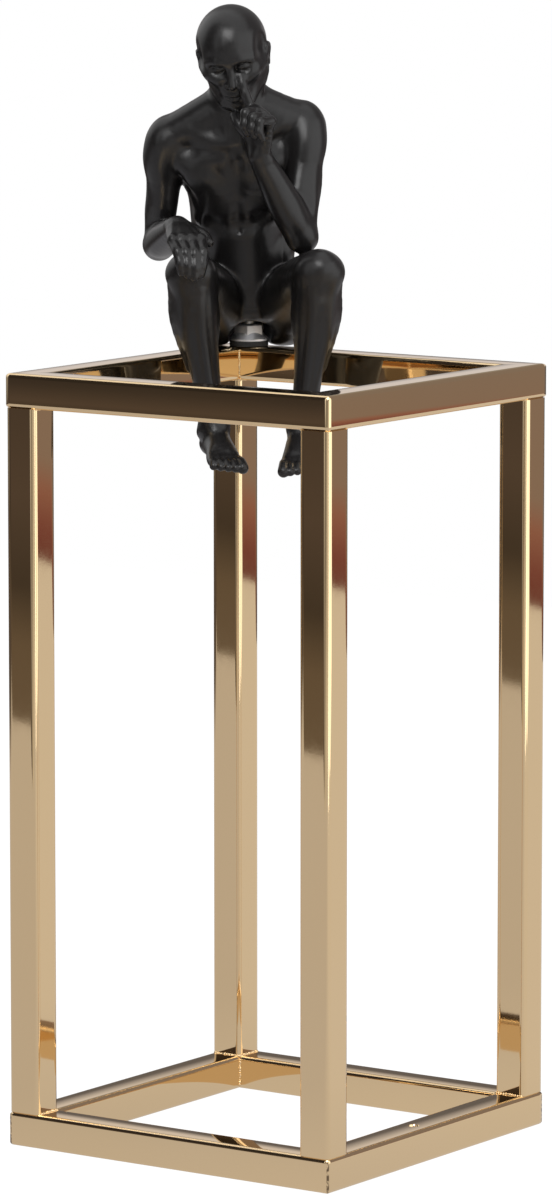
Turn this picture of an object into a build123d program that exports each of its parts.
"""A seated, thinking nude on the corner of a tall open stand.

The stand is a weldment of twelve square tubes: a mitred ring at the top, a mitred ring on the floor and
four posts between them. The cast figure sits on the back left corner of the top ring with its legs
hanging inside the ring. A stud, a flange nut and a rubber washer hold it there.

Millimetres. +Z is up, -Y is the front and +X is to the right. The origin is on the floor, under the
middle of the whole ornament.
"""
import os
from math import cos, radians, sin

from build123d import *

os.makedirs("parts", exist_ok=True)

# Stand
stand_width = 135.0          # outside to outside, the same both ways
stand_height = 272.0         # floor to the top of the upper ring
tube_size = 12.0             # square tube, outside
tube_wall = 1.0
tube_corner_radius = 1.2     # outside corners of the tube
drain_hole_diameter = 4.0    # lets the plating bath run out of the base ring
drain_hole_offset = 6.0      # from the middle of its rail, towards the front

# Fixing, size M6
stud_diameter = 6.0
stud_length = 34.0
thread_fit = 0.05            # radial play that stands for the thread flanks
stud_hole_diameter = 6.6     # in the wall of the rail
stud_from_corner = 12.0      # along the back rail, from the outside of the stand to the stud
washer_diameter = 14.0
washer_thickness = 2.0
washer_hole_diameter = 6.4
nut_across_flats = 10.0
nut_height = 6.0             # flange and hexagon together
flange_diameter = 14.2
flange_thickness = 1.4       # at the rim
boss_diameter = 9.0          # threaded boss welded inside the rail
boss_height = 6.0

# Figure: lengths between joints
pelvis_height = 18.0         # middle of the pelvis above the rail
pelvis_setback = 5.0         # middle of the pelvis behind the stud
hip_spacing = 23.0
hip_height = 13.0
thigh_length = 55.0
shin_length = 55.8
upper_arm_length = 41.8
forearm_length = 36.0
shoulder_spacing = 49.2
head_height = 34.0           # crown to chin
head_breadth = 25.6
head_depth = 30.0
ear_height = 7.6
foot_length = 34.0
foot_breadth = 13.0
palm_length = 15.0
palm_breadth = 14.0
palm_thickness = 6.0
finger_radius = 1.8
thumb_radius = 2.1
finger_bones = (6.0, 4.4, 3.4)
thumb_bones = (6.0, 4.4)
toe_radius = 1.6

# Figure: half widths and half depths of the trunk
pelvis_half_width, pelvis_half_depth = 19.0, 14.5
waist_half_width, waist_half_depth = 17.0, 11.5
rib_half_width, rib_half_depth = 16.4, 12.8
chest_half_width, chest_half_depth = 18.6, 12.5
collar_half_width, collar_half_depth = 17.5, 9.5
neck_radius = 9.2

# Figure: radii of the limbs
thigh_top_radius, thigh_middle_radius, thigh_knee_radius = 12.6, 11.6, 8.3
knee_radius = 8.6
shin_top_radius, shin_middle_radius, ankle_radius = 8.0, 6.2, 4.9
calf_radius, calf_length = 5.6, 34.0
shoulder_radius = 7.7
upper_arm_radius = 6.5
elbow_radius = 5.8
forearm_radius, wrist_radius = 6.3, 4.0
buttock_radius = 13.5

# Pose: turn is degrees from dead ahead towards his left, rise is degrees above level
facing = 38.0                # the figure about the vertical, from the front of the stand to the right
spine_steps = [              # length, turn, rise: pelvis to waist, ribs, chest, collar and neck
    (23.6, -20.6, 68.8),
    (18.0, -11.0, 62.7),
    (15.3, -8.0, 66.2),
    (9.0, -4.0, 63.2),
    (8.6, 13.1, 69.0),
]
head_step = (22.5, -15.0, 66.6)
head_tip, head_roll, head_turn = 24.0, 7.0, -11.0    # nodding down, leaning to his right, turned from his left
shoulder_tilt, shoulder_swing = 6.4, -5.8             # his left shoulder is higher and further forward
thigh_turn, thigh_rise = (-12.5, 11.9), (17.7, 18.0)   # right, left, here and below
shin_turn, shin_rise = (122.0, -132.0), (-80.3, -82.4)
rest_wrist = (-4.4, 11.0, 16.0)                       # right wrist from the right knee, here and below: to his left,
fist_wrist = (6.4, -21.4, -14.7)                      # behind and up; left wrist from the neck
elbow_turn, elbow_rise = (-171.5, 119.0), (-26.5, -70.5)    # the way each elbow points
foot_turn, foot_rise = (17.0, -8.0), (-6.0, -6.0)
rest_hand = (11.0, -14.0)    # right palm over the knee
fist_hand = (4.0, 80.0)      # left palm up to the chin
rest_finger = ((11.0, -30.0), (9.0, -68.0), (7.0, -88.0))
point_finger = ((-95.0, 68.0), (-115.0, 72.0), (-140.0, 72.0))
curl_finger = ((-45.0, 2.0), (-35.0, -78.0), (120.0, -62.0))
rest_thumb = ((38.0, -12.0), (25.0, -30.0))
fist_thumb = ((-110.0, 45.0), (-150.0, 45.0))
fist_spread = (0.6, -0.68, -0.42)                     # from first to little finger, away from the face and down

# Clearances
seat_gap = 0.1               # figure above and beside the rails
nut_gap = 0.6                # figure around the nut and washer

# Worked out from the above
post_length = stand_height - 2 * tube_size
stand_half = stand_width / 2
tube_half = tube_size / 2
rail_line = stand_half - tube_half
seat = Vector(stud_from_corner - stand_half, rail_line, stand_height)
nut_top = washer_thickness + nut_height
RIGHT, LEFT = 0, 1
SIDE = (-1, 1)


def step(start, length, turn, rise):
    """The point a length away from start, in the figure's own frame: his left is +X, his back is +Y."""
    level = length * cos(radians(rise))
    return start + Vector(level * sin(radians(turn)), -level * cos(radians(turn)), length * sin(radians(rise)))


def elbow_between(shoulder, wrist, turn, rise):
    """The elbow of an arm whose hand stays where it rests, whatever the lengths of its two bones."""
    reach = wrist - shoulder
    along = (reach.length + (upper_arm_length**2 - forearm_length**2) / reach.length) / 2
    bend = max(upper_arm_length**2 - along**2, elbow_radius**2) ** 0.5
    way = step(Vector(0, 0, 0), 1, turn, rise)
    way = way - reach * (way.dot(reach) / reach.length**2)
    return shoulder + reach * (along / reach.length) + way.normalized() * bend


def limb(start, end, radii):
    """A round muscle from start to end: evenly spaced radii, rounded off past both ends, turned about the bone."""
    bone = end - start
    girth = [(bone.length * k / (len(radii) - 1), radius) for k, radius in enumerate(radii)]
    upright = abs(bone.normalized().Z) > cos(radians(30))
    across = Vector(1, 0, 0) if upright else Vector(0, 0, 1)
    with BuildPart() as muscle:
        with BuildSketch(Plane(start, x_dir=bone, z_dir=bone.cross(across))):
            with BuildLine():
                CenterArc((0, 0), radii[0], 90, 90)
                Spline(*girth, tangents=[(1, 0), (1, 0)])
                CenterArc((bone.length, 0), radii[-1], 0, 90)
                Line((bone.length + radii[-1], 0), (-radii[0], 0))
            make_face()
        revolve(axis=Axis(start, bone))
    return muscle.part


def tube_section():
    """The square tube's section, centred on the sketch."""
    RectangleRounded(tube_size, tube_size, tube_corner_radius)
    offset(amount=-tube_wall, mode=Mode.SUBTRACT)


def joined(forms):
    """One form from forms that overlap."""
    with BuildPart() as whole_form:
        for form in forms:
            add(form)
    return whole_form.part


def bulk(path, halves, side):
    """A flattened form lofted through one ellipse at each point of the path; side is the way its width lies."""
    last = len(path) - 1
    with BuildPart() as form:
        for k, (point, (half_width, half_depth)) in enumerate(zip(path, halves)):
            along = path[min(k + 1, last)] - path[max(k - 1, 0)]
            with BuildSketch(Plane(point, x_dir=side, z_dir=along)):
                Ellipse(half_width, half_depth)
        loft()
    return form.part


# The stand: one mitred rail turned round the square twice, and one post set on its corners
with BuildPart() as mitred_rail:
    with BuildSketch(Plane.YZ):
        with Locations((-rail_line, tube_half)):
            tube_section()
    extrude(amount=stand_half, both=True)
    for side in SIDE:
        corner = (side * stand_half, -stand_half, 0)
        split(bisect_by=Plane(corner, z_dir=(-side, -1, 0)), keep=Keep.TOP)

parts = {}
for turn, name in zip((0, 90, 180, 270), ("front", "right", "back", "left")):
    with BuildPart() as base_rail:
        add(mitred_rail.part, rotation=(0, 0, turn))
        if name == "right":
            with Locations((rail_line, -drain_hole_offset, tube_size - tube_half / 2)):
                Cylinder(drain_hole_diameter / 2, tube_half, mode=Mode.SUBTRACT)
    parts["base_rail_" + name] = base_rail.part

    with BuildPart() as top_rail:
        with Locations((0, 0, stand_height - tube_size)):
            add(mitred_rail.part, rotation=(0, 0, turn))
        if name == "back":
            with Locations(seat - Vector(0, 0, tube_half / 2)):
                Cylinder(stud_hole_diameter / 2, tube_half, mode=Mode.SUBTRACT)
    parts["top_rail_" + name] = top_rail.part

for x_side, side_name in zip(SIDE, ("left", "right")):
    for y_side, end_name in zip(SIDE, ("front", "back")):
        with BuildPart() as post:
            with BuildSketch(Plane.XY.offset(tube_size)):
                with Locations((x_side * rail_line, y_side * rail_line)):
                    tube_section()
            extrude(amount=post_length)
        parts[f"post_{end_name}_{side_name}"] = post.part

# The fixing, about the stud's axis with the rail's top face at zero: boss below it, washer and flange nut above
on_rail = (Align.CENTER, Align.CENTER, Align.MIN)
under_rail = (Align.CENTER, Align.CENTER, Align.MAX)

with BuildPart() as mounting_stud:
    with Locations((0, 0, -tube_wall - boss_height)):
        Cylinder(stud_diameter / 2, stud_length, align=on_rail)
    chamfer(mounting_stud.edges().filter_by(GeomType.CIRCLE), stud_diameter / 12)

with BuildPart() as threaded_boss:
    with Locations((0, 0, -tube_wall)):
        Cylinder(boss_diameter / 2, boss_height, align=under_rail)
    Hole(stud_diameter / 2 + thread_fit)

with BuildPart() as seat_washer:
    Cylinder(washer_diameter / 2, washer_thickness, align=on_rail)
    Hole(washer_hole_diameter / 2)
    rims = seat_washer.edges().filter_by(GeomType.CIRCLE).group_by(SortBy.RADIUS)[-1]
    fillet(rims, washer_thickness / 5)

with BuildPart() as lock_nut:
    with BuildSketch(Plane.XY.offset(washer_thickness)):
        RegularPolygon(nut_across_flats / 2, 6, major_radius=False)
    extrude(amount=nut_height)
    chamfer(lock_nut.faces().sort_by(Axis.Z)[-1].edges(), nut_across_flats / 20)
    with BuildSketch(Plane.XZ):
        with BuildLine():
            Polyline(
                (0, washer_thickness),
                (flange_diameter / 2, washer_thickness),
                (flange_diameter / 2, washer_thickness + flange_thickness / 2),
                (nut_across_flats / 2, washer_thickness + nut_height / 2),
                (0, washer_thickness + nut_height / 2),
                close=True,
            )
        make_face()
    revolve(axis=Axis.Z)
    Hole(stud_diameter / 2 + thread_fit)

fixing = dict(mounting_stud=mounting_stud, threaded_boss=threaded_boss, seat_washer=seat_washer, lock_nut=lock_nut)
for name, piece in fixing.items():
    parts[name] = piece.part.moved(Location(seat))

# The figure's joints, in its own frame: it faces -Y with the stud at the origin
pelvis = Vector(0, pelvis_setback, pelvis_height)
spine = [pelvis]
for length, turn, rise in spine_steps:
    spine.append(step(spine[-1], length, turn, rise))
collar, neck = spine[-2], spine[-1]
head = Location(step(neck, *head_step)) * Rot(0, 0, head_turn) * Rot(0, -head_roll, 0) * Rot(head_tip, 0, 0)
across_shoulders = Vector(shoulder_spacing / 2, 0, 0).rotate(Axis.Y, -shoulder_tilt).rotate(Axis.Z, shoulder_swing)
hips = [Vector(side * hip_spacing / 2, pelvis_setback * 3 / 5, hip_height) for side in SIDE]
knees = [step(hips[k], thigh_length, thigh_turn[k], thigh_rise[k]) for k in (RIGHT, LEFT)]
ankles = [step(knees[k], shin_length, shin_turn[k], shin_rise[k]) for k in (RIGHT, LEFT)]
shoulders = [collar + across_shoulders * side for side in SIDE]
wrists = [knees[RIGHT] + Vector(*rest_wrist), neck + Vector(*fist_wrist)]
elbows = [elbow_between(shoulders[k], wrists[k], elbow_turn[k], elbow_rise[k]) for k in (RIGHT, LEFT)]

muscles = []
# Trunk, buttocks, chest and the slope from the neck to the shoulders
muscles.append(
    bulk(
        [pelvis] + spine[1:-1],
        [
            (pelvis_half_width, pelvis_half_depth),
            (waist_half_width, waist_half_depth),
            (rib_half_width, rib_half_depth),
            (chest_half_width, chest_half_depth),
            (collar_half_width, collar_half_depth),
        ],
        across_shoulders,
    )
)
for k, side in enumerate(SIDE):
    seat_bone = hips[k] + Vector(-side * buttock_radius / 4, buttock_radius / 4, buttock_radius / 4)
    muscles.append(limb(seat_bone, hips[k] + Vector(side, -1, 0) * (buttock_radius / 8), [buttock_radius, buttock_radius * 0.97]))
    breast_bone = collar + across_shoulders * (side * 0.15) - Vector(0, chest_half_depth * 0.35, chest_half_depth * 0.55)
    armpit = shoulders[k] - Vector(side * shoulder_radius * 0.4, 0, shoulder_radius * 0.45)
    muscles.append(limb(breast_bone, armpit, [chest_half_depth * 0.72, chest_half_depth * 0.66, chest_half_depth * 0.5]))
    nape = neck + Vector(0, 0, neck_radius * 0.35)
    muscles.append(limb(nape, shoulders[k], [neck_radius * 0.95, neck_radius * 0.92, shoulder_radius * 0.86]))

muscles.append(
    limb(
        pelvis - Vector(0, pelvis_half_depth / 2, pelvis_height / 6),
        pelvis - Vector(0, pelvis_half_depth, pelvis_height / 4),
        [pelvis_height / 3, pelvis_height / 4],
    )
)

# Arms: shoulder cap and upper arm, forearm
for k in (RIGHT, LEFT):
    muscles.append(
        limb(
            shoulders[k],
            elbows[k],
            [shoulder_radius, shoulder_radius * 0.97, upper_arm_radius, upper_arm_radius * 0.93, elbow_radius],
        )
    )
    muscles.append(limb(elbows[k], wrists[k], [elbow_radius * 1.04, forearm_radius, forearm_radius * 0.86, wrist_radius]))

# Legs: thigh, knee and shin, and the calf behind them
for k, side in enumerate(SIDE):
    muscles.append(
        limb(hips[k], knees[k], [thigh_top_radius, thigh_middle_radius, thigh_middle_radius * 0.93, thigh_knee_radius])
    )
    muscles.append(
        limb(
            knees[k],
            ankles[k],
            [knee_radius, shin_top_radius, shin_middle_radius, shin_middle_radius * 0.82, ankle_radius],
        )
    )
    down = (ankles[k] - knees[k]).normalized()
    belly = knees[k] + Vector(side * calf_radius * 0.7, calf_radius * 0.5, 0)
    muscles.append(
        limb(belly + down * (calf_length / 4), belly + down * calf_length, [calf_radius, calf_radius * 1.1, calf_radius / 2])
    )

# Head, in its own frame: it faces -Y with the middle of the skull at the origin
def in_head(x, y, z):
    """A place in the head, as shares of its half breadth, half depth and half height."""
    return (head * Pos(x * head_breadth / 2, y * head_depth / 2, z * head_height / 2)).position


skull_radius = head_breadth / 2
muscles.append(limb(in_head(0, -0.02, 0.22), in_head(0, 0.2, 0.25), [skull_radius * 0.98, skull_radius]))
muscles.append(limb(in_head(0, -0.12, 0.1), in_head(0, -0.4, -0.72), [skull_radius * 0.9, skull_radius * 0.78, skull_radius * 0.42]))
muscles.append(limb(in_head(-0.42, -0.72, 0.12), in_head(0.42, -0.72, 0.12), [skull_radius * 0.14, skull_radius * 0.16, skull_radius * 0.14]))
muscles.append(limb(in_head(0, -0.86, 0.08), in_head(0, -1.0, -0.2), [skull_radius * 0.09, skull_radius * 0.16]))
muscles.append(limb(in_head(-0.24, -0.74, -0.5), in_head(0.24, -0.74, -0.5), [skull_radius * 0.13, skull_radius * 0.17, skull_radius * 0.13]))
muscles.append(limb(in_head(0, -0.66, -0.82), in_head(0, -0.62, -0.8), [skull_radius * 0.26, skull_radius * 0.26]))
for side in SIDE:
    muscles.append(limb(in_head(side * 0.9, 0.12, 0.0), in_head(side * 0.88, 0.04, -0.26), [ear_height * 0.3, ear_height * 0.2]))
muscles.append(limb(neck - Vector(0, 0, neck_radius / 2), in_head(0, 0.1, -0.2), [neck_radius * 1.05, neck_radius * 0.93, neck_radius]))

# Feet: a flattened form from heel to ball, an instep below the ankle and five toes
def in_foot(k, ahead, left, up=0.0):
    """A place on foot k, as shares of its length ahead of the heel, its breadth to his left and its length up."""
    return (feet[k] * Pos(left * foot_breadth, -ahead * foot_length, up * foot_length)).position


feet = []
for k in (RIGHT, LEFT):
    sole = Location(ankles[k]) * Rot(0, 0, foot_turn[k]) * Rot(-foot_rise[k], 0, 0)
    feet.append(sole * Pos(0, foot_length * 0.14, -foot_length * 0.18))
for k, side in enumerate(SIDE):
    foot = [
        bulk(
            [in_foot(k, ahead, 0, up) for ahead, up in ((0, 0), (0.2, 0), (0.45, 0.0), (0.7, -0.03), (0.84, -0.04))],
            [
                (foot_breadth * 0.27, foot_length * 0.09),
                (foot_breadth * 0.32, foot_length * 0.13),
                (foot_breadth * 0.42, foot_length * 0.13),
                (foot_breadth * 0.5, foot_length * 0.085),
                (foot_breadth * 0.47, foot_length * 0.06),
            ],
            (feet[k] * Pos(1, 0, 0)).position - feet[k].position,
        ),
        limb(in_foot(k, 0.06, 0, 0), ankles[k], [foot_breadth * 0.31, foot_breadth * 0.31, ankle_radius]),
        limb(ankles[k], in_foot(k, 0.6, 0, 0.0), [ankle_radius * 0.96, foot_breadth * 0.33, foot_breadth * 0.22]),
    ]
    for toe in range(5):
        across = -side * (0.36 - 0.18 * toe)
        size = toe_radius * (1.35 if toe == 0 else 1.0 - 0.05 * toe)
        tip = 1.0 - size / foot_length - 0.028 * toe
        foot.append(limb(in_foot(k, 0.78, across, -0.045), in_foot(k, tip, across, -0.055), [size, size]))
    muscles.append(joined(foot))

# Hands: a palm and five two-boned digits each, the right draped over the knee and the left curled under the chin
def hand(wrist, direction, spread, folds, thumb):
    """Palm and digits from the wrist: spread lies across the knuckles from first finger to little finger."""
    knuckles = step(wrist, palm_length, *direction)
    digits = [
        bulk(
            [wrist, wrist + (knuckles - wrist) * 0.5, knuckles],
            [
                (wrist_radius, palm_thickness * 0.55),
                (palm_breadth * 0.45, palm_thickness * 0.56),
                (palm_breadth * 0.5, palm_thickness * 0.42),
            ],
            spread,
        )
    ]
    for finger, bones in enumerate(folds):
        root = knuckles + spread * (palm_breadth * (finger - 1.5) * 0.25)
        size = finger_radius * (1.0 - 0.05 * abs(finger - 1))
        for length, (turn, rise) in zip(finger_bones, bones):
            tip = step(root, length * (1.0 - 0.08 * abs(finger - 1)), turn, rise)
            digits.append(limb(root, tip, [size, size * 0.92]))
            root = tip
    heel = wrist + (knuckles - wrist) * 0.3 - spread * (palm_breadth * 0.36)
    for length, (turn, rise), size in zip(thumb_bones, thumb, (thumb_radius * 1.15, thumb_radius)):
        tip = step(heel, length, turn, rise)
        digits.append(limb(heel, tip, [size, size * 0.9]))
        heel = tip
    return joined(digits)


across_knee = Vector(-1, 0, 0).rotate(Axis.Z, rest_hand[0])
muscles.append(hand(wrists[RIGHT], rest_hand, across_knee, [rest_finger] * 4, rest_thumb))
under_chin = Vector(*fist_spread).normalized()
muscles.append(hand(wrists[LEFT], fist_hand, under_chin, [point_finger] + [curl_finger] * 3, fist_thumb))

with BuildPart() as figure:
    for muscle in muscles:
        add(muscle)
    # The stud's hole and the room for the nut, open to the front
    with Locations((0, 0, 0)):
        Cylinder(
            stud_diameter / 2 + thread_fit,
            stud_length - tube_wall - boss_height + nut_gap,
            align=on_rail,
            mode=Mode.SUBTRACT,
        )
        Cylinder(flange_diameter / 2 + nut_gap, nut_top + nut_gap, align=on_rail, mode=Mode.SUBTRACT)

# The cast seat lies on the rails and clears their sides
with BuildPart() as thinker_figure:
    add(figure.part.moved(Location(seat, (0, 0, facing))))
    with BuildSketch(Plane.XY.offset(stand_height - tube_size - seat_gap)):
        Rectangle(stand_width + 2 * seat_gap, stand_width + 2 * seat_gap)
        Rectangle(*[stand_width - 2 * (tube_size + seat_gap)] * 2, mode=Mode.SUBTRACT)
    extrude(amount=tube_size + 2 * seat_gap, mode=Mode.SUBTRACT)
parts["thinker_figure"] = thinker_figure.part
# Everything moves so that the origin lies under the middle of the whole ornament
whole = Compound(list(parts.values())).bounding_box()
middle = Vector(whole.center().X, whole.center().Y, 0)
print("stand's centre", Vector(0, 0, 0) - middle, "overall", whole.size)
for name, shape in parts.items():
    placed = shape.moved(Location(Vector(0, 0, 0) - middle))
    placed.label = name
    export_step(placed, f"parts/{name}.step")
    print(name, round(placed.volume), placed.is_valid, len(placed.solids()))
